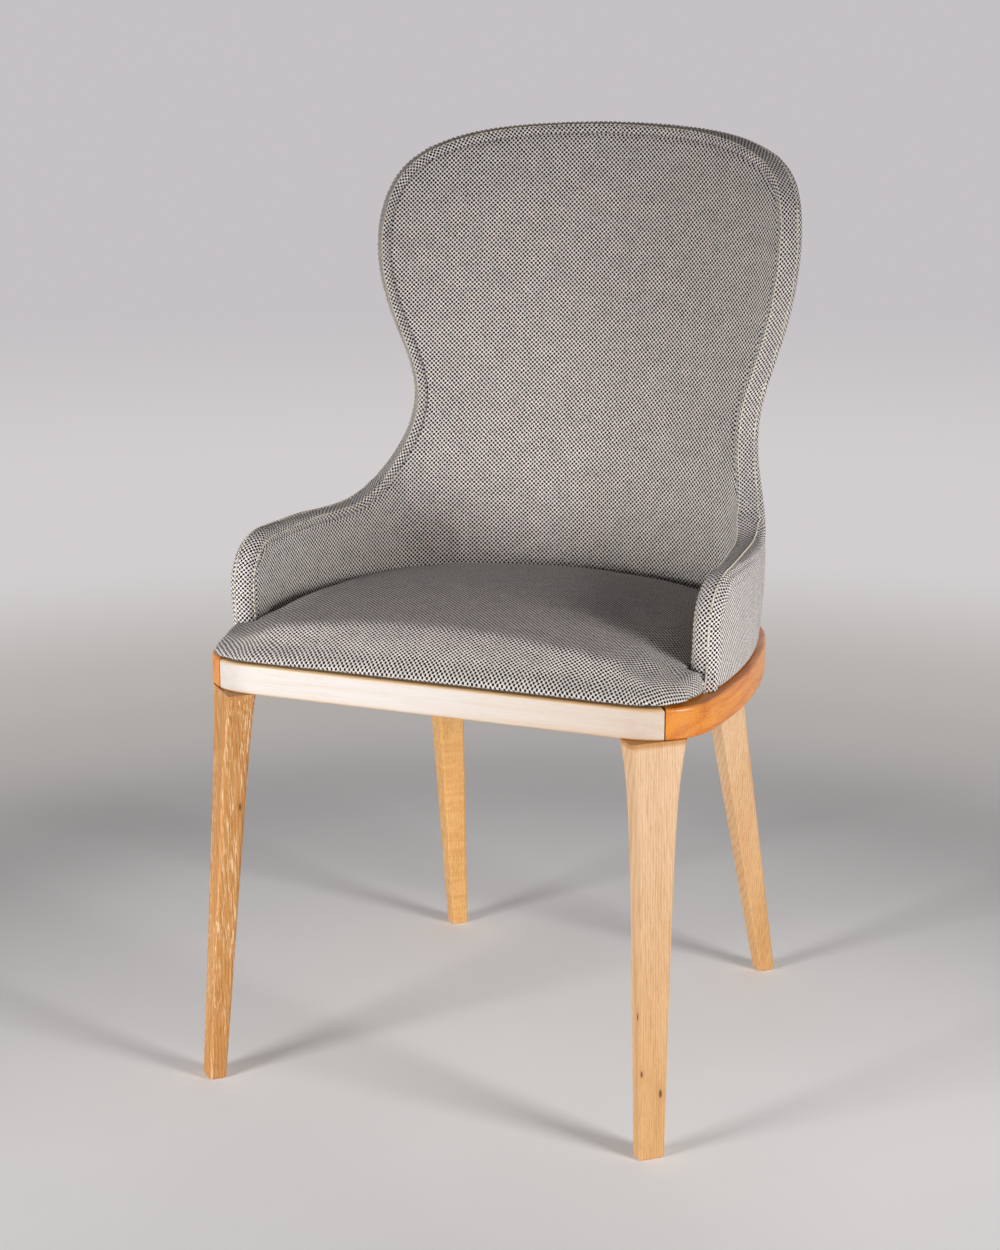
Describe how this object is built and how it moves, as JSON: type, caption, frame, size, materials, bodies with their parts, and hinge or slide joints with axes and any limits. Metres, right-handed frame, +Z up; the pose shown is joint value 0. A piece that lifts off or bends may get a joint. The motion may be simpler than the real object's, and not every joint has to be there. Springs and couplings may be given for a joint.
{
  "type": "upholstered dining chair",
  "caption": "Upholstered dining chair with a wrapped wing back and low arms on a bent wooden seat ring, splayed tapered legs and a domed cushion.",
  "frame": {"origin": "on the floor, under the middle of the chair's outer box", "axes": "+Z up, the front of the chair faces -Y, +X to the right as seen from the front"},
  "size_m": [0.52, 0.5168, 0.9155],
  "materials": {
    "rail_beech": "pale oiled straight grain",
    "rail_cherry": "warm oiled satin",
    "leg_oak": "golden oiled open grain",
    "leg_beech": "pale oiled straight grain",
    "joint_wood": "raw beech",
    "plywood": "raw birch plywood",
    "zinc_steel": "zinc plated",
    "foam": "cut foam",
    "seat_fabric": "coarse two-tone basket weave",
    "back_fabric": "coarse two-tone basket weave",
    "band_fabric": "coarse two-tone basket weave with double topstitch",
    "dust_cloth": "black nonwoven"
  },
  "bodies": {
    "root": {"front_rail": "rail_beech", "left_side_rail": "rail_cherry", "right_side_rail": "rail_cherry", "rear_rail": "rail_cherry", "front_left_leg": "leg_oak", "front_right_leg": "leg_beech", "rear_left_leg": "leg_beech", "rear_right_leg": "leg_beech", "rail_dowels": "joint_wood", "leg_dowels": "joint_wood", "front_left_corner_block": "joint_wood", "front_right_corner_block": "joint_wood", "rear_left_corner_block": "joint_wood", "rear_right_corner_block": "joint_wood", "leg_bolts": "zinc_steel", "leg_inserts": "zinc_steel", "seat_board_screws": "zinc_steel", "back_shell_screws": "zinc_steel", "seat_board": "plywood", "back_shell": "plywood", "dust_cloth": "dust_cloth", "seat_foam": "foam", "inside_back_foam": "foam", "outside_back_padding": "foam", "seat_cover": "seat_fabric", "inside_back_cover": "back_fabric", "outside_back_cover": "back_fabric", "edge_band": "band_fabric"}
  },
  "joints": []
}
